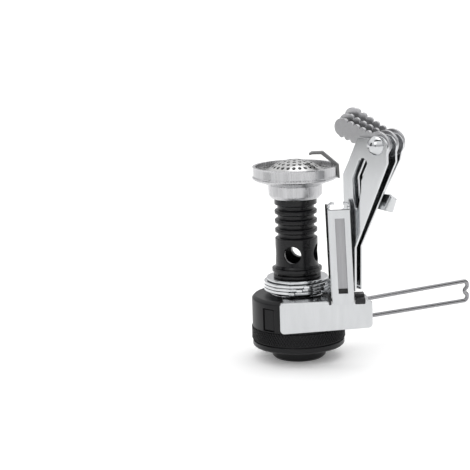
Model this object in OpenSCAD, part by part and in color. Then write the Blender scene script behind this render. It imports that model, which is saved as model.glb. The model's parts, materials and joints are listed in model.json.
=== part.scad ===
// Folding canister camping stove: valve base, finned burner column, three pot
// supports folded together at one side, wire valve handle and push ignition.
// Millimetres. Origin: column axis at the collar's lower face, +Z up.

/* [Base] */
// Radius of the black base and housing
base_r = 15.9; // [15.5:0.1:16.2]
// Radius of the collar that takes the gas canister
collar_r = 9.3; // [8.5:0.1:10]
// Radius of the canister thread's inner wall
thread_r = 5.15; // [5.1:0.05:5.3]
// Height of the housing's top face
housing_top = 22.4; // [22:0.1:22.8]

/* [Burner] */
// Radius of the finned tube
tube_r = 7.3; // [6.9:0.1:7.5]
// Height of the tube's top end
tube_top = 56; // [55:0.1:57]
// Diameter of the air holes
air_hole_d = 6; // [4:0.5:6.5]
// Radius of the burner cup's rim
cup_r = 14.3; // [13:0.1:15]

/* [Pot supports] */
// Thickness of the support plates
plate_t = 1; // [0.8:0.1:1.1]
// Azimuth of the fixed support
support_az = -40; // [-45:1:-38]
// Angle between neighbouring supports when folded together
fan_step = 7; // [7:0.5:9]
// Distance of the grip rivets from the column axis
rivet_reach = 36; // [35:0.1:37]
// Height of the grip rivets
rivet_z = 76.3; // [75:0.1:78]
// Length of a grip from its rivet to the centre of its round end
grip_len = 16.4; // [15:0.1:17]

/* [Handle and ignition] */
// Direction of the valve spindle
spindle_az = 33.5; // [30:0.5:36]
// Length of the wire handle
handle_len = 50; // [45:1:60]
// Diameter of the handle wire
wire_d = 1.5; // [1.2:0.1:1.8]
// Travel of the ignition button
button_travel = 3; // [2:0.5:3]

/* [Hidden] */
$fn = 64;

eps = 0.01;
run_gap = 0.05;          // radial gap of a running fit
post_r = 5.4;            // post that the support rings turn on
ring_r = 11.5;
ring_t = 1;
ring_pitch = 1.15;
bracket_t = 0.9;         // sheet of the guard channel
spacer_t = 0.8;
ring_z0 = housing_top + bracket_t + spacer_t;
clamp_z = ring_z0 + 3 * ring_pitch;
flange_z = clamp_z + ring_t;
post_z = 19.4;           // lower end of the column post
disc_z = 4.4;            // lower face of the base disc
collar_in_r = 7;         // collar's spigot inside the disc
seal_z = 6.4;
valve_z = 7.5;           // lower face of the valve block
groove_z = 6.5;
knurl_z = 7.2;
wall_z = 11.4;           // lower edge of the housing's plain wall
cavity_r = 13.9;
valve_r = 7.2;
spindle_r = 2;
head_x = 23;             // spindle head's distance from the column axis
head_r = 2.9;
spindle_z = 13;
wire_gap = 6.3;          // height between the two wires at the head
wire_gap_end = 7.3;
button_az = -128;
button_w = 4.4;
button_h = 7.4;
button_z = 15.8;
button_back = 13.9;
guard_turn = 5.2;
guard_x = 10.1;
guard_y = -17.6;
guard_half = 15.6;
guard_low_left = 12.4;
guard_low_right = 13.7;
guard_top = housing_top + bracket_t;
strut_y = -1.9;          // hinge axis in front of the guard's face
strut_z = guard_top + 0.3;
strut_x0 = 1.9;
strut_w = 7.4;
strut_h = 31.3;
strut_lean = -1.9;
flange_splay = 12;       // the strut's left flange opens outwards
strut_t = 0.8;
pin_r = 0.45;
barrel_r = 0.85;
tube_z = 31.8;            // lower end of the finned tube
cup_z = tube_top + 0.9;
rim_z = 67;
air_hole_z = 37;
fin_z = 42.2;            // top of the tube's plain stretch
fin_pitch = 3.2;
spark_x = 3.4;
dome_top = 69.2;
dome_edge = 9.6;         // radius where the dome meets its slitted ring
spark_z = dome_top + 1.6;
lead_z = 19.4;            // ignition lead inside the column
lead_top = 53;
support_azs = [support_az, support_az + fan_step, support_az + 2 * fan_step];
tab_azs = [-97.5, -85, -73];
grip_opens = [0, 5, 12];  // how far each folded grip stands open
edge_insets = [0, 0, 2.2];
grip_dir = 162;
tooth_r = 1.3;
tooth_pitch = 2.65;
grip_t = 1;
grip_gap = 0.15;
rivet_r = 1.6;
rivet_head_r = 3.3;
head_heights = [2.4, 0.8, 0.8];

// ---- shared shapes -------------------------------------------------------

module ring(r_out, r_in, h) {
    difference() {
        cylinder(r = r_out, h = h);
        translate([0, 0, -1]) cylinder(r = r_in, h = h + 2);
    }
}

// Plate standing in a radial plane: 2D x is the distance from the axis, 2D y is
// the height, and off moves it square to the plane, away from the base's front.
module radial_plate(az, thick, off = 0) {
    rotate([0, 0, az])
        translate([0, off, 0])
        rotate([90, 0, 0])
        linear_extrude(height = thick, center = true)
        children();
}

module in_guard_frame() {
    translate([guard_x, guard_y, 0])
        rotate([0, 0, guard_turn])
        children();
}

module in_strut_frame() {
    in_guard_frame()
        translate([0, strut_y, strut_z])
        children();
}

// Frame of the spindle: X runs outwards along the spindle's axis
module in_spindle_frame() {
    rotate([0, 0, spindle_az])
        translate([0, 0, spindle_z])
        children();
}

// ---- gas inlet and base ---------------------------------------------------

module collar() {
    color("#1c1c1e")
    rotate_extrude()
    polygon([[thread_r, 0], [collar_r - 0.9, 0], [collar_r, 0.9], [collar_r, disc_z],
             [collar_in_r, disc_z], [collar_in_r, seal_z], [thread_r, seal_z]]);
}

module seal_ring() {
    color("#222222")
    translate([0, 0, seal_z])
    ring(4.8, 2.2, valve_z - seal_z);
}

module valve_pin() {
    color("#b5893c")
    translate([0, 0, seal_z + 0.1])
    cylinder(r = 1.5, h = valve_z - seal_z - 0.1);
}

module base_disc() {
    color("#1b1b1d")
    difference() {
        // rim band, groove and knurled band
        rotate_extrude()
        polygon([[0, disc_z], [base_r - 0.6, disc_z], [base_r, disc_z + 0.6],
                 [base_r, groove_z], [base_r - 0.7, groove_z], [base_r - 0.7, knurl_z],
                 [base_r, knurl_z], [base_r, wall_z], [0, wall_z]]);
        // recesses for the collar, the seal and the valve block
        translate([0, 0, disc_z - 1]) cylinder(r = collar_in_r, h = seal_z - disc_z + 1);
        translate([0, 0, seal_z - 1]) cylinder(r = 4.9, h = 3);
        translate([0, 0, valve_z]) cylinder(r = valve_r + 0.1, h = 6);
        // notch for the gland nut
        in_spindle_frame()
            translate([6, 0, 0])
            rotate([0, 90, 0]) cylinder(r = 3.6, h = 12);
    }
}

module housing() {
    color("#1a1a1c")
    difference() {
        translate([0, 0, wall_z])
        rotate_extrude()
        polygon([[0, 0], [base_r, 0], [base_r, housing_top - wall_z - 1],
                 [base_r - 1, housing_top - wall_z], [0, housing_top - wall_z]]);
        // cavity
        translate([0, 0, wall_z - 1]) cylinder(r = cavity_r, h = housing_top - wall_z);
        // passage for the column post
        translate([0, 0, wall_z]) cylinder(r = post_r + 0.01, h = 12);
        // passage for the gland nut
        in_spindle_frame()
            translate([9, 0, 0])
            rotate([0, 90, 0]) cylinder(r = 3.6, h = 10);
        // window for the ignition button
        rotate([0, 0, button_az])
            translate([15, 0, button_z])
            cube([10, button_w + 0.4, button_h + 0.4], center = true);
    }
}

module valve_block() {
    color("#c9a45a")
    difference() {
        translate([0, 0, valve_z]) cylinder(r = valve_r, h = post_z - 0.3 - valve_z);
        translate([0, 0, valve_z - 1]) cylinder(r = 1.2, h = 6);
        translate([0, 0, 13]) cylinder(r = 0.8, h = 7);
        translate([0, 0, 17.3]) cylinder(r = 1.8, h = 5);
        in_spindle_frame()
            translate([1.5, 0, 0])
            rotate([0, 90, 0]) cylinder(r = spindle_r + run_gap, h = 10);
    }
}

module inlet_filter() {
    color("#9c7b45")
    translate([0, 0, valve_z])
    cylinder(r = 1.2, h = 2);
}

module gas_jet() {
    color("#d2ab55")
    difference() {
        translate([0, 0, 17.4]) cylinder(r = 1.8, h = 6);
        translate([0, 0, 17]) cylinder(r = 0.3, h = 8);
    }
}

module gland_nut() {
    color("#bfc1c4")
    in_spindle_frame()
    translate([7.4, 0, 0])
    rotate([0, 90, 0])
    difference() {
        union() {
            cylinder(r = 3.4, h = 8.5);
            translate([0, 0, 8.5]) cylinder(r = 3.9, h = 3.2, $fn = 6);
        }
        translate([0, 0, -1]) cylinder(r = spindle_r + run_gap, h = 14);
    }
}

module valve_spindle() {
    color("#c7c9cc")
    in_spindle_frame()
    translate([2.2, 0, 0])
    rotate([0, 90, 0])
    union() {
        cylinder(r1 = 0.5, r2 = spindle_r, h = 2.4);
        translate([0, 0, 2.4]) cylinder(r = spindle_r, h = head_x - head_r - 4.3);
    }
}

// Flattened end of the spindle with the cross hole that the handle turns in
module spindle_head() {
    color("#c7c9cc")
    in_spindle_frame()
    difference() {
        intersection() {
            translate([head_x, 0, -2.2]) cylinder(r = head_r, h = 4.4);
            translate([head_x - head_r, -2, -3]) cube([2 * head_r, 4, 6]);
        }
        translate([head_x, 0, -4]) cylinder(r = wire_d / 2 + run_gap, h = 8);
    }
}

// ---- ignition --------------------------------------------------------------

module piezo_module() {
    color("#3b2f2a")
    rotate([0, 0, button_az])
    translate([button_back - button_travel - 2.9, -2.6, wall_z + 0.4])
    cube([2.2, 5.2, 8.4]);
}

module ignition_button() {
    color("#101012")
    rotate([0, 0, button_az])
    translate([button_back, -button_w / 2, button_z - button_h / 2])
    cube([1.5, button_w, button_h]);
}

module ignition_lead() {
    color("#2b2b2d")
    translate([spark_x, 0, lead_z])
    cylinder(r = 0.6, h = lead_top - lead_z);
}

module insulator() {
    color("#f1efe9")
    difference() {
        translate([spark_x, 0, lead_top]) cylinder(r = 1.2, h = rim_z - lead_top - 1);
        translate([spark_x, 0, lead_top - 1]) cylinder(r = 0.5, h = 30);
    }
}

module spark_pin() {
    color("#b9babd")
    translate([spark_x, 0, lead_top])
    cylinder(r = 0.5, h = rim_z - lead_top);
}

// ---- guard channel and folding strut ---------------------------------------

module guard_channel() {
    color("#d6d8da")
    difference() {
        union() {
            // front face, its lower edge rising to the right
            in_guard_frame()
            translate([0, bracket_t, 0])
            rotate([90, 0, 0])
            linear_extrude(height = bracket_t)
            union() {
                polygon([[-guard_half, guard_top - 1.2], [-guard_half, guard_low_left + 1.5],
                         [-guard_half + 1.5, guard_low_left], [guard_half - 1.5, guard_low_right],
                         [guard_half, guard_low_right + 1.5], [guard_half, guard_top - 1.2],
                         [guard_half - 1.2, guard_top], [-guard_half + 1.2, guard_top]]);
                translate([-guard_half + 1.5, guard_low_left + 1.5]) circle(r = 1.5);
                translate([guard_half - 1.5, guard_low_right + 1.5]) circle(r = 1.5);
                translate([-guard_half + 1.2, guard_top - 1.2]) circle(r = 1.2);
                translate([guard_half - 1.2, guard_top - 1.2]) circle(r = 1.2);
            }
            // top plate, drawn in to an eye around the column
            in_guard_frame()
            translate([-guard_half + 1.2, bracket_t - eps, housing_top])
            cube([2 * guard_half - 2.4, 8.1, bracket_t]);
            translate([0, 0, housing_top]) cylinder(r = 9.6, h = bracket_t);
        }
        translate([0, 0, housing_top - 1]) cylinder(r = post_r, h = 4);
    }
}

// Ear that stands on the guard's top plate and reaches forward round the pin
module guard_lug(x, w, h) {
    in_guard_frame()
    difference() {
        union() {
            translate([x, -0.05, guard_top]) cube([w, 4, h]);
            translate([x, strut_y, strut_z])
                rotate([0, 90, 0]) cylinder(r = 1.1, h = w);
            translate([x, strut_y, guard_top]) cube([w, -strut_y, 1.4]);
        }
        translate([x - 1, strut_y, strut_z])
            rotate([0, 90, 0]) cylinder(r = pin_r, h = w + 2);
    }
}

module guard_lug_left() {
    color("#2a2b2d")
    guard_lug(strut_x0 - 1.1, 0.8, 1.4);
}

module guard_lug_right() {
    color("#1d1d1f")
    guard_lug(strut_x0 + strut_w + 0.3, 3.4, 2.2);
}

module strut_pin() {
    color("#b8babd")
    in_strut_frame()
    translate([strut_x0 - 1.1, 0, 0])
    rotate([0, 90, 0]) cylinder(r = pin_r, h = strut_w + 4.8);
}

// Slotted channel rolled round the pin at its foot, with curled horns on top
module channel_strut() {
    shift = strut_h * tan(strut_lean);
    color("#dcdee0")
    in_strut_frame()
    translate([strut_x0, 0, 0])
    difference() {
        union() {
            // web, its front flush with the rolled foot
            translate([0, -barrel_r + strut_t, 0])
            rotate([90, 0, 0])
            linear_extrude(height = strut_t)
            difference() {
                union() {
                    polygon([[0, 0.4], [1.2, -barrel_r], [strut_w - 1.2, -barrel_r],
                             [strut_w, 0.4], [strut_w + shift, strut_h], [shift, strut_h]]);
                    translate([1.2, 0.35]) circle(r = 1.2);
                    translate([strut_w - 1.2, 0.35]) circle(r = 1.2);
                }
                polygon([[2.2, 2.9], [5.3, 2.9], [4.5, 28.3], [1.4, 28.3]]);
            }
            translate([1.2, 0, 0])
            rotate([0, 90, 0]) cylinder(r = barrel_r, h = strut_w - 2.4);
            // flanges
            multmatrix([[1, 0, tan(strut_lean), 0], [0, 1, 0, 0], [0, 0, 1, 0]]) {
                translate([0, -barrel_r + 0.1, 1.4])
                rotate([0, 0, flange_splay])
                cube([strut_t, 3, strut_h + 0.2]);
                translate([strut_w - strut_t, -barrel_r + 0.1, 1.4])
                cube([strut_t, 1.4, strut_h + 0.2]);
            }
            // horns
            for (side = [0, 1])
                translate([shift + side * strut_w, -barrel_r + strut_t, strut_h + 1])
                mirror([side, 0, 0])
                translate([1.6, 0, 0])
                rotate([90, 0, 0])
                linear_extrude(height = strut_t)
                intersection() {
                    difference() {
                        circle(r = 1.6);
                        circle(r = 0.8);
                    }
                    translate([-2, -0.01]) square([2.6, 4]);
                }
        }
        translate([-1, 0, 0])
            rotate([0, 90, 0]) cylinder(r = pin_r + run_gap, h = strut_w + 2);
    }
}

// Satin leaf that closes the channel behind the slot, open at the slot's foot
module strut_leaf() {
    color("#b4b6b8")
    in_strut_frame()
    translate([strut_x0, -barrel_r + strut_t, 0])
    multmatrix([[1, 0, tan(strut_lean), 0], [0, 1, 0, 0], [0, 0, 1, 0]])
    translate([1.1, 0, 4.4]) cube([5.2, 0.5, 25.6]);
}

// ---- column and burner -------------------------------------------------------

module spacer() {
    color("#1a1a1c")
    translate([0, 0, guard_top])
    ring(9.8, post_r, spacer_t);
}

module clamp_ring() {
    color("#cfd1d3")
    translate([0, 0, clamp_z])
    ring(10.6, post_r, ring_t);
}

// Turned post: the support rings turn on it, and its two flanges sit above them
module column_post() {
    color("#19191b")
    rotate_extrude()
    polygon([[4.7, post_z], [post_r, post_z], [post_r, flange_z], [7.2, flange_z],
             [7.2, flange_z + 0.1], [8.2, flange_z + 0.1], [8.2, flange_z + 1],
             [6.8, flange_z + 1], [6.8, tube_z - 1.2], [8.6, tube_z - 1.2],
             [8.6, tube_z], [4.7, tube_z]]);
}

module burner_tube() {
    color("#18181a")
    difference() {
        rotate_extrude()
        polygon([[5.2, tube_z], [7.8, tube_z], [tube_r, tube_z + 1.2], [tube_r, fin_z],
                 for (i = [0 : 3])
                     each [[tube_r - 1, fin_z + 0.6 + fin_pitch * i],
                           [tube_r - 1, fin_z + 1.7 + fin_pitch * i],
                           [tube_r, fin_z + 2.1 + fin_pitch * i],
                           [tube_r, fin_z + fin_pitch * (i + 1)]],
                 [tube_r, tube_top], [5.2, tube_top]]);
        for (i = [0 : 3])
            rotate([0, 0, -101 + 90 * i])
            translate([0, 0, air_hole_z])
            rotate([0, 90, 0]) cylinder(d = air_hole_d, h = 12);
    }
}

module burner_cup() {
    color("#c4c3bf")
    rotate_extrude()
    polygon([[5, tube_top], [8.2, tube_top], [9.2, cup_z + 0.3], [9.3, rim_z - 6.4],
             [11.5, rim_z - 5.4], [cup_r - 0.4, rim_z - 4.6], [cup_r + 0.3, rim_z - 4.1],
             [cup_r + 0.3, rim_z - 3.5], [cup_r, rim_z - 3.2], [cup_r, rim_z - 0.4],
             [cup_r + 0.3, rim_z], [cup_r - 0.8, rim_z], [cup_r - 0.8, rim_z - 3.4],
             [11.3, rim_z - 4.6], [8.4, rim_z - 5.8], [8.3, cup_z + 0.6], [5, cup_z]]);
}

module burner_gauze() {
    color("#8f8d88")
    difference() {
        translate([0, 0, rim_z - 3.3]) cylinder(r = cup_r - 0.8, h = 0.4);
        translate([spark_x, 0, rim_z - 5]) cylinder(r = 1.2, h = 6);
    }
}

// Flame spreader: a perforated dome inside a lower ring of radial slits
module burner_dome() {
    lip_z = rim_z - 1.4;
    rise = dome_top - lip_z;
    sphere_r = (dome_edge * dome_edge + rise * rise) / (2 * rise);
    color("#d9d7d2")
    difference() {
        union() {
            translate([0, 0, dome_top - sphere_r])
            intersection() {
                difference() {
                    sphere(r = sphere_r);
                    sphere(r = sphere_r - 0.5);
                }
                translate([0, 0, sphere_r - rise - 0.3]) cylinder(r = sphere_r, h = 10);
            }
            translate([0, 0, lip_z - 0.5]) ring(cup_r - 0.8, dome_edge - 0.5, 0.5);
        }
        for (ring_n = [1 : 4])
            for (i = [0 : 6 * ring_n - 1])
            rotate([0, 0, 360 / (6 * ring_n) * (i + 0.5 * (ring_n % 2))])
            translate([ring_n * 1.9, 0, lip_z - 5])
            cylinder(r = 0.58, h = 10);
        for (i = [0 : 23])
            rotate([0, 0, 15 * i])
            translate([dome_edge + 0.4, -0.75, lip_z - 5])
            cube([3, 1.5, 10]);
    }
}

// Bent strip from the cup's side to the spark gap above the dome
module electrode() {
    color("#c9c8c4")
    translate([0, 1.5, 0])
    rotate([90, 0, 0])
    linear_extrude(height = 3)
    polygon([[cup_r, rim_z - 4.2], [cup_r + 1, rim_z - 4.6], [cup_r + 0.8, rim_z],
             [9.7, spark_z + 0.9], [5.8, spark_z + 0.8], [4.9, spark_z + 0.2], [5.2, spark_z - 0.3],
             [6, spark_z], [9.1, spark_z], [cup_r - 0.1, rim_z - 0.5]]);
}

// ---- pot supports ------------------------------------------------------------

function ring_z(n) = ring_z0 + n * ring_pitch;

// One sheet piece: eye ring, stop tab, short strap and the upright plate
module pot_support(n) {
    low = ring_z(n);
    inset = edge_insets[n];
    color("#d3d5d7")
    difference() {
        union() {
            translate([0, 0, low]) cylinder(r = ring_r, h = ring_t);
            rotate([0, 0, tab_azs[n]])
                translate([0, -1, low]) cube([12.4, 2, ring_t]);
            rotate([0, 0, support_azs[n]])
                translate([8, -plate_t / 2 - 0.1, low]) cube([9.2, 4, ring_t]);
            radial_plate(support_azs[n], plate_t)
            difference() {
                union() {
                    polygon([[12.8, low + 0.4], [17, low + 0.4], [17.4, 28], [26.3 - inset, 26.6],
                             [26.6 - inset, 41.5], [40.6 - inset / 2, 70.8], [rivet_reach + 4.6, rivet_z],
                             [rivet_reach, rivet_z + 2.4], [28.4, rivet_z + 2.4], [24.7, 71.2],
                             [21.9, 66], [21.9, 54.5], [17, 52], [17, 32], [12.8, low + 3.4]]);
                    translate([rivet_reach + 0.9, rivet_z - 0.5]) circle(r = 3.9);
                    // stop tab on the last plate's outer edge
                    if (n == 2)
                        polygon([[29.4, 54.2], [36.4, 53], [37.9, 57.5], [35.6, 59], [31, 59]]);
                }
                // dog-leg slot with round ends
                polygon([[28.6, 70.7], [25.9, 64.9], [26.2, 58.4], [26.9, 55.3], [28.3, 55.3],
                         [29.5, 60.3], [29.7, 64.4], [32.2, 69.2]]);
                translate([30.4, 69.95]) circle(r = 1.94);
                translate([27.6, 55.3]) circle(r = 0.7);
            }
        }
        translate([0, 0, low - 1]) cylinder(r = post_r + run_gap, h = 3);
        rivet_hole(n, rivet_r);
    }
}

module rivet_hole(n, r) {
    rotate([0, 0, support_azs[n]])
    translate([rivet_reach, 0, rivet_z])
    rotate([90, 0, 0])
    cylinder(r = r, h = 8, center = true);
}

// Toothed pot grip: round hub on the rivet and a lobe with teeth on both edges
module pot_grip(n) {
    color("#b9bbbe")
    difference() {
        radial_plate(support_azs[n], grip_t, plate_t / 2 + grip_gap + grip_t / 2)
        translate([rivet_reach, rivet_z])
        rotate([0, 0, grip_dir - grip_opens[n]])
        union() {
            circle(r = 4.6);
            translate([0, -2.1]) square([grip_len, 4.2]);
            translate([grip_len, 0]) circle(r = 2.9);
            for (i = [0 : 4])
                translate([5 + tooth_pitch * i, 0]) {
                    translate([0, 2]) circle(r = tooth_r);
                    translate([0, -2]) circle(r = tooth_r);
                }
        }
        rivet_hole(n, rivet_r + run_gap);
    }
}

module grip_rivet(n) {
    back = plate_t / 2 + grip_gap + grip_t + 0.1;
    head_h = head_heights[n];
    dome_r = (rivet_head_r * rivet_head_r + head_h * head_h) / (2 * head_h);
    color("#e2e3e5")
    rotate([0, 0, support_azs[n]])
    translate([rivet_reach, 0, rivet_z])
    rotate([90, 0, 0])
    union() {
        translate([0, 0, -back]) cylinder(r = rivet_r, h = back + plate_t / 2);
        translate([0, 0, -back - 0.5]) cylinder(r = 2.4, h = 0.5);
        // domed head
        translate([0, 0, plate_t / 2])
        intersection() {
            cylinder(r = rivet_head_r, h = head_h);
            translate([0, 0, head_h - dome_r]) sphere(r = dome_r);
        }
    }
}

module support_a() { pot_support(0); }
module support_b() { pot_support(1); }
module support_c() { pot_support(2); }
module grip_a() { pot_grip(0); }
module grip_b() { pot_grip(1); }
module grip_c() { pot_grip(2); }
module rivet_a() { grip_rivet(0); }
module rivet_b() { grip_rivet(1); }
module rivet_c() { grip_rivet(2); }

// ---- wire handle ---------------------------------------------------------------

// Straight round wire between two points in the handle's upright plane
module wire(a, b) {
    run = b - a;
    translate([a[0], 0, a[1]])
    rotate([0, atan2(run[0], run[1]), 0])
    cylinder(d = wire_d, h = norm(run));
}

module wire_handle() {
    half = wire_gap / 2;
    half_end = wire_gap_end / 2;
    path = [[0, 0.4], [0, half], [handle_len - 1.2, half_end], [handle_len, half_end - 1.4],
            [handle_len - 1.9, 0]];
    color("#d9dadc")
    in_spindle_frame()
    translate([head_x, 0, 0])
    union() {
        for (side = [0, 180])
            rotate([side, 0, 0]) {
                for (i = [0 : len(path) - 2])
                    wire(path[i], path[i + 1]);
                for (i = [1 : len(path) - 2])
                    translate([path[i][0], 0, path[i][1]]) sphere(d = wire_d + 0.1, $fn = 32);
            }
        translate([handle_len - 1.9, 0, 0]) sphere(d = wire_d + 0.2, $fn = 32);
    }
}

collar();
seal_ring();
valve_pin();
base_disc();
housing();
valve_block();
gas_jet();
inlet_filter();
gland_nut();
piezo_module();
ignition_button();
ignition_lead();
insulator();
spark_pin();
guard_channel();
guard_lug_left();
guard_lug_right();
strut_pin();
channel_strut();
strut_leaf();
spacer();
column_post();
clamp_ring();
burner_tube();
burner_cup();
burner_gauze();
burner_dome();
electrode();
support_a();
support_b();
support_c();
grip_a();
grip_b();
grip_c();
rivet_a();
rivet_b();
rivet_c();
valve_spindle();
spindle_head();
wire_handle();
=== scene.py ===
import json
import math

import bpy
from mathutils import Matrix, Vector


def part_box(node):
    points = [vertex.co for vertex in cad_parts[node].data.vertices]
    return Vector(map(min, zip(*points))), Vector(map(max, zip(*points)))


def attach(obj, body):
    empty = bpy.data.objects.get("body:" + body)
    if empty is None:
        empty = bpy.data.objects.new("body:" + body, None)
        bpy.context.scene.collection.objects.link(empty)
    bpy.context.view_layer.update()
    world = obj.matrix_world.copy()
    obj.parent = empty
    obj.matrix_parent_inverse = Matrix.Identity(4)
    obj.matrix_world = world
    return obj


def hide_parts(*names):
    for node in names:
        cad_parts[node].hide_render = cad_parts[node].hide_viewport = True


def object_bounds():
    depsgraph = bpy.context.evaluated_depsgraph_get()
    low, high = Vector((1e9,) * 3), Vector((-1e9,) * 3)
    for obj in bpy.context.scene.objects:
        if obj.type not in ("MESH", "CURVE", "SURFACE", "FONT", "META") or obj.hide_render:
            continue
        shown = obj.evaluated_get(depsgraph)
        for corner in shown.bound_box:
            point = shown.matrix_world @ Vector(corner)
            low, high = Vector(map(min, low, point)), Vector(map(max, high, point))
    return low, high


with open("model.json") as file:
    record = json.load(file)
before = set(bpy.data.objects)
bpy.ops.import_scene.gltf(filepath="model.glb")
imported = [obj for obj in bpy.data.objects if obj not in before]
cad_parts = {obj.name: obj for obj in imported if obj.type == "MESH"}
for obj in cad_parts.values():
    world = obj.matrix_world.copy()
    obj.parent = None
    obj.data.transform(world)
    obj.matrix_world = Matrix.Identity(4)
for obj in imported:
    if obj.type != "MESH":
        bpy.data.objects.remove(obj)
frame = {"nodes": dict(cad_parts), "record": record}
cad_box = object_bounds()
nodes = frame["nodes"]

# ---- Camera ------------------------------------------------------------------
# A long lens a little over half a metre away, looking slightly down. It points
# to the left of the stove, so the stove stands right of the frame's middle.
camera_pitch = math.radians(78.94)
camera_roll = math.radians(-0.95)
camera_yaw = math.radians(4.33)
camera_place = (0.0205, -0.540, 0.148)
lens_length = 122.5
sensor_width = 36.0
camera_data = bpy.data.cameras.new("camera")
camera_data.lens = lens_length
camera_data.sensor_width = sensor_width
camera = bpy.data.objects.new("camera", camera_data)
camera.location = camera_place
camera.rotation_euler = (Matrix.Rotation(camera_pitch, 3, "X")
                         @ Matrix.Rotation(camera_roll, 3, "Z")
                         @ Matrix.Rotation(camera_yaw, 3, "Y")).to_euler()
bpy.context.scene.collection.objects.link(camera)
bpy.context.scene.camera = camera
bpy.context.scene.view_settings.view_transform = "Standard"

# ---- Floor and studio light --------------------------------------------------
# White paper under the stove and soft white light from above, greyer near the
# horizon. Black felt boards stand out of sight, so the steel's edges turn dark.
stove_middle = Vector((0.02, 0.0, 0.04))
horizon_height = 0.12
horizon_grey = (0.50, 0.50, 0.51, 1.0)
zenith_height = 0.55
zenith_white = (1.0, 1.0, 1.0, 1.0)
sky_strength = 1.15
paper_tone = (0.95, 0.95, 0.95, 1.0)
paper_rough = 0.9
paper_glow = 0.14
paper_size = 8.0
paper_gap = 0.0001
felt_tone = (0.01, 0.01, 0.01, 1.0)
felt_rough = 1.0


def felt_board(name, place, size):
    bpy.ops.object.select_all(action="DESELECT")
    bpy.ops.mesh.primitive_grid_add(x_subdivisions=2, y_subdivisions=2, size=1.0)
    board = bpy.context.active_object
    board.name = name
    board.scale = (size[0], size[1], 1.0)
    board.location = place
    board.rotation_euler = (stove_middle - Vector(place)).to_track_quat("Z", "Y").to_euler()
    bpy.ops.object.transform_apply(location=True, rotation=True, scale=True)
    board.data.materials.append(felt)
    board.visible_camera = False


def soft_box(name, place, size, power):
    lamp_data = bpy.data.lights.new(name, "AREA")
    lamp_data.shape = "RECTANGLE"
    lamp_data.size = size[0]
    lamp_data.size_y = size[1]
    lamp_data.energy = power
    lamp = bpy.data.objects.new(name, lamp_data)
    lamp.location = place
    lamp.rotation_euler = (stove_middle - Vector(place)).to_track_quat("-Z", "Y").to_euler()
    bpy.context.scene.collection.objects.link(lamp)


world = bpy.data.worlds.new("studio")
bpy.context.scene.world = world
world.use_nodes = True
sky = world.node_tree
sky_direction = sky.nodes.new("ShaderNodeTexCoord")
sky_parts = sky.nodes.new("ShaderNodeSeparateXYZ")
sky_ramp = sky.nodes.new("ShaderNodeValToRGB")
sky_ramp.color_ramp.elements[0].position = horizon_height
sky_ramp.color_ramp.elements[0].color = horizon_grey
sky_ramp.color_ramp.elements[1].position = zenith_height
sky_ramp.color_ramp.elements[1].color = zenith_white
sky.links.new(sky_direction.outputs["Generated"], sky_parts.inputs["Vector"])
sky.links.new(sky_parts.outputs["Z"], sky_ramp.inputs["Fac"])
sky.links.new(sky_ramp.outputs["Color"], sky.nodes["Background"].inputs["Color"])
sky.nodes["Background"].inputs["Strength"].default_value = sky_strength

paper = bpy.data.materials.new("white_paper")
paper.use_nodes = True
paper_shader = paper.node_tree.nodes["Principled BSDF"]
paper_shader.inputs["Base Color"].default_value = paper_tone
paper_shader.inputs["Roughness"].default_value = paper_rough
paper_shader.inputs["Emission Color"].default_value = (1.0, 1.0, 1.0, 1.0)
paper_shader.inputs["Emission Strength"].default_value = paper_glow
bpy.ops.object.select_all(action="DESELECT")
bpy.ops.mesh.primitive_plane_add(size=paper_size, location=(0.0, 0.0, cad_box[0][2] - paper_gap))
floor = bpy.context.active_object
floor.name = "floor"
bpy.ops.object.transform_apply(location=True)
floor.data.materials.append(paper)

felt = bpy.data.materials.new("black_felt")
felt.use_nodes = True
felt_shader = felt.node_tree.nodes["Principled BSDF"]
felt_shader.inputs["Base Color"].default_value = felt_tone
felt_shader.inputs["Roughness"].default_value = felt_rough
felt_board("felt_left", place=(-0.55, -0.12, 0.12), size=(0.22, 0.5))
felt_board("felt_right", place=(0.60, -0.10, 0.12), size=(0.22, 0.5))
felt_board("felt_front_left", place=(-0.28, -0.66, 0.10), size=(0.10, 0.45))
felt_board("felt_overhead", place=(0.02, -0.25, 0.62), size=(0.7, 0.16))

soft_box("key_light", place=(-0.35, -0.7, 0.55), size=(0.35, 0.35), power=0.6)
soft_box("top_light", place=(0.15, 0.1, 0.9), size=(0.7, 0.5), power=1.5)

# ---- Canister collar, seal and valve pin -------------------------------------
# The black anodised collar screws on to the gas canister. A rubber ring inside
# seals it, and a brass pin pushes the canister's valve open.
MM = 0.001
body_of = {node: body
           for body, members in frame["record"]["behaviour"]["bodies"].items()
           for node in members}


def pick_only(piece):
    bpy.ops.object.select_all(action="DESELECT")
    piece.select_set(True)
    bpy.context.view_layer.objects.active = piece


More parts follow.
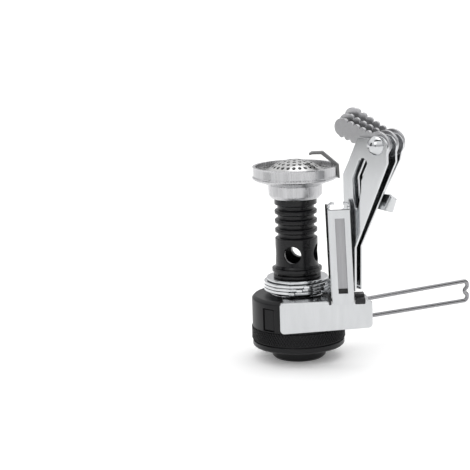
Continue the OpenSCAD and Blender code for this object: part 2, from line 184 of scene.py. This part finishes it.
def surface(name, light, dark, metallic, rough, scale, relief,
            stretch=(1.0, 1.0, 1.0), specular=0.5):
    """A finish whose tone, roughness and relief follow a fine grain.

    Faint handling smudges change the roughness as well.
    """
    grain_detail = 5.0
    smudge_scale = 90.0
    smudge_detail = 3.0
    grain_share = 0.5
    smudge_share = 0.5
    noise_low = 0.3
    noise_high = 0.7
    material = bpy.data.materials.new(name)
    material.use_nodes = True
    tree = material.node_tree
    shader = tree.nodes["Principled BSDF"]
    shader.inputs["Metallic"].default_value = metallic
    shader.inputs["Specular IOR Level"].default_value = specular
    place = tree.nodes.new("ShaderNodeTexCoord")
    mapping = tree.nodes.new("ShaderNodeMapping")
    mapping.inputs["Scale"].default_value = stretch
    tree.links.new(place.outputs["Object"], mapping.inputs["Vector"])
    grain = tree.nodes.new("ShaderNodeTexNoise")
    grain.inputs["Scale"].default_value = scale
    grain.inputs["Detail"].default_value = grain_detail
    tree.links.new(mapping.outputs["Vector"], grain.inputs["Vector"])
    smudge = tree.nodes.new("ShaderNodeTexNoise")
    smudge.inputs["Scale"].default_value = smudge_scale
    smudge.inputs["Detail"].default_value = smudge_detail
    tree.links.new(place.outputs["Object"], smudge.inputs["Vector"])
    tone = tree.nodes.new("ShaderNodeMix")
    tone.data_type = "RGBA"
    tone.inputs["A"].default_value = (*dark, 1.0)
    tone.inputs["B"].default_value = (*light, 1.0)
    tree.links.new(grain.outputs["Fac"], tone.inputs["Factor"])
    tree.links.new(tone.outputs["Result"], shader.inputs["Base Color"])
    blend = tree.nodes.new("ShaderNodeMath")
    blend.operation = "MULTIPLY_ADD"
    blend.inputs[1].default_value = grain_share
    tree.links.new(grain.outputs["Fac"], blend.inputs[0])
    halve = tree.nodes.new("ShaderNodeMath")
    halve.operation = "MULTIPLY"
    halve.inputs[1].default_value = smudge_share
    tree.links.new(smudge.outputs["Fac"], halve.inputs[0])
    tree.links.new(halve.outputs["Value"], blend.inputs[2])
    spread = tree.nodes.new("ShaderNodeMapRange")
    spread.inputs["From Min"].default_value = noise_low
    spread.inputs["From Max"].default_value = noise_high
    spread.inputs["To Min"].default_value = rough[0]
    spread.inputs["To Max"].default_value = rough[1]
    tree.links.new(blend.outputs["Value"], spread.inputs["Value"])
    tree.links.new(spread.outputs["Result"], shader.inputs["Roughness"])
    bump = tree.nodes.new("ShaderNodeBump")
    bump.inputs["Strength"].default_value = 1.0
    bump.inputs["Distance"].default_value = relief * MM
    tree.links.new(grain.outputs["Fac"], bump.inputs["Height"])
    tree.links.new(bump.outputs["Normal"], shader.inputs["Normal"])
    return material


def coat_node(node, material):
    nodes[node].data.materials.clear()
    nodes[node].data.materials.append(material)


def softened(node, material, width, segments=2):
    """Stands in for a CAD node with its sharp corners rounded off."""
    weld_distance = 0.002
    flat_angle = math.radians(0.5)
    corner_angle = math.radians(25.0)
    piece = bpy.data.objects.new(node + "_piece", nodes[node].data.copy())
    bpy.context.scene.collection.objects.link(piece)
    pick_only(piece)
    bpy.ops.object.mode_set(mode="EDIT")
    bpy.ops.mesh.select_all(action="SELECT")
    bpy.ops.mesh.remove_doubles(threshold=weld_distance * MM)
    bpy.ops.mesh.dissolve_limited(angle_limit=flat_angle)
    bpy.ops.object.mode_set(mode="OBJECT")
    edges = piece.modifiers.new("edges", "BEVEL")
    edges.width = width * MM
    edges.segments = segments
    edges.angle_limit = corner_angle
    edges.use_clamp_overlap = False
    bpy.ops.object.modifier_apply(modifier="edges")
    bpy.ops.object.shade_smooth_by_angle(angle=corner_angle)
    even = piece.modifiers.new("even", "WEIGHTED_NORMAL")
    even.keep_sharp = True
    bpy.ops.object.modifier_apply(modifier="even")
    piece.data.materials.clear()
    piece.data.materials.append(material)
    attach(piece, body_of[node])
    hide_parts(node)


anodised = surface(
    "black_anodised", light=(0.009, 0.009, 0.010), dark=(0.003, 0.003, 0.004),
    metallic=0.0, rough=(0.26, 0.42), scale=2600.0, relief=0.006, specular=0.25)
rubber = surface(
    "seal_rubber", light=(0.03, 0.03, 0.03), dark=(0.015, 0.015, 0.015),
    metallic=0.0, rough=(0.7, 0.85), scale=1500.0, relief=0.02)
brass = surface(
    "turned_brass", light=(0.72, 0.50, 0.20), dark=(0.58, 0.38, 0.14),
    metallic=1.0, rough=(0.20, 0.35), scale=1200.0, relief=0.01,
    stretch=(0.1, 0.1, 1.0))
softened("collar", anodised, width=0.15)
coat_node("seal_ring", rubber)
coat_node("valve_pin", brass)

# ---- Base disc ---------------------------------------------------------------
# Turned aluminium, black anodised, with a plain rim, a groove and a knurled band
# for gripping while the stove is screwed on. Diamond knurl rolled in two passes.
ridge_count = 96
ridge_height = 4.0
ridge_width = 0.42
ridge_depth = 0.5
ridge_slant = 34.0
knurl_radius = 15.9
knurl_middle = 9.3
crest_width = 0.25
crest_height = 0.97
outward = 0.9


def knurl_pass(slant):
    bpy.ops.object.select_all(action="DESELECT")
    bpy.ops.mesh.primitive_cube_add(size=1.0, location=(0.0, 0.0, 0.0))
    ridge = bpy.context.active_object
    ridge.scale = (ridge_depth * MM, ridge_width * MM, ridge_height / math.cos(slant) * MM)
    bpy.ops.object.transform_apply(scale=True)
    bpy.ops.object.mode_set(mode="EDIT")
    bpy.ops.mesh.select_all(action="DESELECT")
    bpy.ops.object.mode_set(mode="OBJECT")
    for face in ridge.data.polygons:
        face.select = face.normal.x > outward
    bpy.ops.object.mode_set(mode="EDIT")
    bpy.ops.transform.resize(value=(1.0, crest_width, crest_height))
    bpy.ops.object.mode_set(mode="OBJECT")
    ridge.rotation_euler = (slant, 0.0, 0.0)
    ridge.location = (knurl_radius * MM, 0.0, knurl_middle * MM)
    bpy.ops.object.transform_apply(location=True, rotation=True)
    bpy.ops.object.mode_set(mode="EDIT")
    bpy.ops.mesh.select_all(action="SELECT")
    bpy.ops.mesh.spin(steps=ridge_count, angle=math.tau, dupli=True,
                      center=(0.0, 0.0, 0.0), axis=(0.0, 0.0, 1.0))
    bpy.ops.mesh.select_all(action="SELECT")
    bpy.ops.mesh.normals_make_consistent(inside=False)
    bpy.ops.object.mode_set(mode="OBJECT")
    ridge.data.materials.append(anodised)
    return ridge


softened("base_disc", anodised, width=0.15)
for pass_number, slant in enumerate((math.radians(ridge_slant), math.radians(-ridge_slant))):
    knurl = knurl_pass(slant)
    knurl.name = "knurl_%d" % (pass_number + 1)
    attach(knurl, body_of["base_disc"])

# ---- Valve block, gland nut, spindle -----------------------------------------
# The brass block carries the gas from the collar to the jet. The steel spindle
# turns in it, sealed by a nickelled gland nut, and ends in a flat drilled head.
nickel = surface(
    "bright_nickel", light=(0.62, 0.62, 0.61), dark=(0.50, 0.50, 0.49),
    metallic=1.0, rough=(0.14, 0.26), scale=1400.0, relief=0.003)
for node in ("valve_block", "gas_jet", "inlet_filter"):
    coat_node(node, brass)
softened("gland_nut", nickel, width=0.15)
softened("valve_spindle", nickel, width=0.1)
softened("spindle_head", nickel, width=0.2)

# ---- Housing -----------------------------------------------------------------
# Black drum over the valve block with a window for the ignition button. Turned
# aluminium, bead blasted and anodised, so it is duller than the disc.
drum_black = surface(
    "blasted_black", light=(0.010, 0.010, 0.011), dark=(0.004, 0.004, 0.005),
    metallic=0.0, rough=(0.32, 0.48), scale=3200.0, relief=0.010, specular=0.25)
softened("housing", drum_black, width=0.3, segments=3)

# ---- Ignition ----------------------------------------------------------------
# Pressing the plastic button fires the piezo module. A sleeved lead runs up the
# column to a pin in a ceramic tube that ends below the electrode.
button_plastic = surface(
    "button_plastic", light=(0.008, 0.008, 0.009), dark=(0.005, 0.005, 0.006),
    metallic=0.0, rough=(0.30, 0.40), scale=1800.0, relief=0.0015, specular=0.2)
module_plastic = surface(
    "module_plastic", light=(0.20, 0.15, 0.11), dark=(0.14, 0.10, 0.07),
    metallic=0.0, rough=(0.45, 0.6), scale=1500.0, relief=0.01)
lead_silicone = surface(
    "lead_silicone", light=(0.030, 0.030, 0.031), dark=(0.018, 0.018, 0.019),
    metallic=0.0, rough=(0.5, 0.65), scale=1500.0, relief=0.01)
ceramic = surface(
    "glazed_ceramic", light=(0.86, 0.85, 0.81), dark=(0.78, 0.76, 0.71),
    metallic=0.0, rough=(0.12, 0.22), scale=900.0, relief=0.004)
softened("ignition_button", button_plastic, width=0.25)
coat_node("piezo_module", module_plastic)
coat_node("ignition_lead", lead_silicone)
coat_node("insulator", ceramic)
coat_node("spark_pin", nickel)

# ---- Guard channel and folding strut -----------------------------------------
# Polished stainless sheet, bent over to make the guard's top plate. A slotted
# channel is rolled round a pin held by two ears on the guard. The ears are coloured
# near black as painted shade, where they stand in shadow.
polished = surface(
    "polished_stainless", light=(0.62, 0.63, 0.64), dark=(0.50, 0.51, 0.52),
    metallic=1.0, rough=(0.09, 0.20), scale=700.0, relief=0.003,
    stretch=(1.0, 1.0, 0.12))
# The ears' near black is painted shade, where they stand in shadow.
lug_shade = surface(
    "lug_painted_shade", light=(0.022, 0.022, 0.024), dark=(0.010, 0.010, 0.011),
    metallic=0.3, rough=(0.30, 0.45), scale=2200.0, relief=0.006)
satin_leaf = surface(
    "satin_leaf", light=(0.42, 0.42, 0.43), dark=(0.30, 0.30, 0.31),
    metallic=1.0, rough=(0.30, 0.45), scale=1500.0, relief=0.008,
    stretch=(1.0, 1.0, 0.08))
softened("guard_channel", polished, width=0.28, segments=3)
softened("guard_lug_left", lug_shade, width=0.15)
softened("guard_lug_right", lug_shade, width=0.2)
softened("strut_pin", nickel, width=0.1)
softened("channel_strut", polished, width=0.18, segments=3)
softened("strut_leaf", satin_leaf, width=0.08, segments=1)

# ---- Strut's foot shade pad --------------------------------------------------
# A small bevelled block in the black rubber's colour behind the foot of the strut's
# slot. It is painted shadow: a dark piece put where the slot's foot lies in shade.
shade_pad_width = 4.4
shade_pad_depth = 0.6
shade_pad_height = 2.3
shade_pad_turn = math.radians(5.2)
shade_pad_inset = 2.75
shade_pad_rounding = 0.15
shade_pad_smooth = math.radians(30.0)
leaf_low, leaf_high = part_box("strut_leaf")
bpy.ops.object.select_all(action="DESELECT")
bpy.ops.mesh.primitive_cube_add(size=1.0)
shade_pad = bpy.context.active_object
shade_pad.name = "strut_foot_shade_pad"
shade_pad.scale = (shade_pad_width * MM, shade_pad_depth * MM, shade_pad_height * MM)
shade_pad.location = (leaf_high.x - shade_pad_inset * MM,
                (leaf_low.y + leaf_high.y) / 2,
                leaf_low.z - shade_pad_height / 2 * MM)
shade_pad.rotation_euler = (0.0, 0.0, shade_pad_turn)
bpy.ops.object.transform_apply(location=True, rotation=True, scale=True)
rounding = shade_pad.modifiers.new("rounding", "BEVEL")
rounding.width = shade_pad_rounding * MM
rounding.segments = 2
bpy.ops.object.modifier_apply(modifier="rounding")
bpy.ops.object.shade_smooth_by_angle(angle=shade_pad_smooth)
# The rubber's near black on this block is painted shadow at the slot's foot.
shade_pad.data.materials.append(rubber)
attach(shade_pad, body_of["strut_leaf"])

# ---- Column post, spacer and clamp ring --------------------------------------
# The turned black post carries the support rings between a spacer and a bright
# clamp ring, under its two flanges.
post_black = surface(
    "turned_black", light=(0.009, 0.009, 0.010), dark=(0.003, 0.003, 0.004),
    metallic=0.0, rough=(0.18, 0.32), scale=1500.0, relief=0.006,
    stretch=(0.08, 0.08, 1.0), specular=0.3)
softened("spacer", post_black, width=0.2)
softened("column_post", post_black, width=0.18)
softened("clamp_ring", polished, width=0.3, segments=3)

# ---- Burner tube -------------------------------------------------------------
# Black anodised tube with cooling grooves and four air holes where the gas
# draws its air in.
softened("burner_tube", post_black, width=0.2, segments=3)

# ---- Burner cup, gauze, flame spreader and electrode -------------------------
# The drawn steel cup is brushed up and down and screwed on to the tube. A gauze
# lies in it under the perforated dome, and a bent strip makes the spark gap.
brushed = surface(
    "brushed_cup", light=(0.66, 0.66, 0.67), dark=(0.36, 0.36, 0.37),
    metallic=1.0, rough=(0.20, 0.36), scale=1500.0, relief=0.010,
    stretch=(1.0, 1.0, 0.04))
dome_steel = surface(
    "pressed_dome", light=(0.56, 0.56, 0.56), dark=(0.40, 0.40, 0.40),
    metallic=1.0, rough=(0.18, 0.32), scale=1100.0, relief=0.004)
# Near black for the gauze is painted shade: the dark inside of the cup, seen through the dome's
# holes.
gauze_shade = surface(
    "gauze_painted_shade", light=(0.03, 0.03, 0.03), dark=(0.008, 0.008, 0.008),
    metallic=0.2, rough=(0.5, 0.7), scale=2600.0, relief=0.03)
softened("burner_cup", brushed, width=0.12)
coat_node("burner_gauze", gauze_shade)
softened("burner_dome", dome_steel, width=0.05, segments=1)
# The electrode's dark grey is painted shade: it is seen from below, on its shaded side.
electrode_shade = surface(
    "electrode_painted_shade", light=(0.22, 0.22, 0.22), dark=(0.12, 0.12, 0.12),
    metallic=1.0, rough=(0.25, 0.42), scale=1500.0, relief=0.008)
softened("electrode", electrode_shade, width=0.12)

# ---- Pot supports ------------------------------------------------------------
# Three supports of polished stainless sheet. Each has an eye ring round the
# post and a slotted plate, and they fold together like a fan.
bright_sheet = surface(
    "bright_sheet", light=(0.67, 0.68, 0.69), dark=(0.55, 0.56, 0.57),
    metallic=1.0, rough=(0.08, 0.18), scale=700.0, relief=0.003,
    stretch=(1.0, 1.0, 0.12))
for letter in "abc":
    softened("support_" + letter, bright_sheet, width=0.2, segments=3)

# ---- Toothed grips and their rivets ------------------------------------------
# The grips are stamped steel with rounded teeth, left duller than the plates.
# Each turns on a rivet with a polished domed head.
stamped = surface(
    "stamped_grey", light=(0.56, 0.56, 0.57), dark=(0.42, 0.42, 0.43),
    metallic=1.0, rough=(0.30, 0.46), scale=1600.0, relief=0.01)
rivet_bright = surface(
    "rivet_bright", light=(0.62, 0.63, 0.64), dark=(0.54, 0.55, 0.56),
    metallic=1.0, rough=(0.06, 0.14), scale=900.0, relief=0.002)
for letter in "abc":
    softened("grip_" + letter, stamped, width=0.16)
    softened("rivet_" + letter, rivet_bright, width=0.12)

# ---- Wire handle -------------------------------------------------------------
# One length of bright drawn wire, bent into a long loop with a notch at its end.
# Its two ends turn in the hole through the spindle's head.
drawn = surface(
    "drawn_wire", light=(0.34, 0.34, 0.35), dark=(0.24, 0.24, 0.25),
    metallic=1.0, rough=(0.12, 0.24), scale=1400.0, relief=0.004)
wire_radius = 0.75 * MM
wire_sides = 20
foot_height = 0.4 * MM
head_half = 3.15 * MM
end_half = 3.65 * MM
corner_radius = 1.5 * MM
notch_turn = 52.0
notch_radius = 1.0 * MM
notch_slope = 0.5 * MM
bend_step = 12.0
fewest_steps = 3
wire_weld = 0.005 * MM
wire_smooth = math.radians(40.0)
head_low, head_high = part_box("spindle_head")
head_middle = (head_low + head_high) / 2
handle_reach = (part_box("wire_handle")[1].xy - head_middle.xy).length - wire_radius
spindle_turn = math.atan2(head_middle.y, head_middle.x)
spread_angle = math.degrees(math.atan2(end_half - head_half, handle_reach))
heading = -90.0
place = Vector((0.0, 0.0, -foot_height))


def straight(length):
    """Draws the wire on in a straight line."""
    global place
    angle = math.radians(heading)
    step = Vector((math.cos(angle), 0.0, math.sin(angle))) * length
    bpy.ops.mesh.extrude_region_move(TRANSFORM_OT_translate={"value": step})
    place = place + step


def bend(turn, radius):
    """Bends the wire through an angle, upwards when the angle is positive."""
    global place, heading
    side = math.copysign(1.0, turn)
    normal = Vector((-math.sin(math.radians(heading)), 0.0, math.cos(math.radians(heading))))
    centre = place + normal * radius * side
    steps = max(fewest_steps, round(abs(turn) / bend_step))
    bpy.ops.mesh.spin(steps=steps, angle=math.radians(abs(turn)),
                      center=centre, axis=(0.0, side, 0.0))
    heading += turn
    place = centre - Matrix.Rotation(-math.radians(turn), 3, "Y") @ normal * radius * side


bpy.ops.object.select_all(action="DESELECT")
bpy.ops.mesh.primitive_circle_add(vertices=wire_sides, radius=wire_radius, location=place)
handle = bpy.context.active_object
handle.name = "bent_wire_handle"
bpy.ops.object.transform_apply(location=True)
bpy.ops.object.mode_set(mode="EDIT")
bpy.ops.mesh.select_all(action="SELECT")
notch_rise = (4 * notch_radius * math.sin(math.radians(notch_turn))
              + 2 * notch_slope * math.cos(math.radians(notch_turn)))
end_straight = (2 * (end_half - corner_radius) - notch_rise) / 2
straight(head_half - foot_height - corner_radius)
bend(90.0 - spread_angle, corner_radius)
straight(handle_reach - 2 * corner_radius)
bend(90.0 + spread_angle, corner_radius)
straight(end_straight)
bend(notch_turn, notch_radius)
straight(notch_slope)
bend(-2 * notch_turn, notch_radius)
straight(notch_slope)
bend(notch_turn, notch_radius)
straight(end_straight)
bend(90.0 + spread_angle, corner_radius)
straight(handle_reach - 2 * corner_radius)
bend(90.0 - spread_angle, corner_radius)
straight(head_half - foot_height - corner_radius)
bpy.ops.mesh.select_all(action="SELECT")
bpy.ops.mesh.remove_doubles(threshold=wire_weld)
bpy.ops.mesh.fill_holes(sides=wire_sides)
bpy.ops.mesh.select_all(action="SELECT")
bpy.ops.mesh.normals_make_consistent(inside=False)
bpy.ops.object.mode_set(mode="OBJECT")
bpy.ops.object.shade_smooth_by_angle(angle=wire_smooth)
handle.rotation_euler = (0.0, 0.0, spindle_turn)
handle.location = head_middle
bpy.ops.object.transform_apply(location=True, rotation=True)
handle.data.materials.append(drawn)
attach(handle, body_of["wire_handle"])
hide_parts("wire_handle")
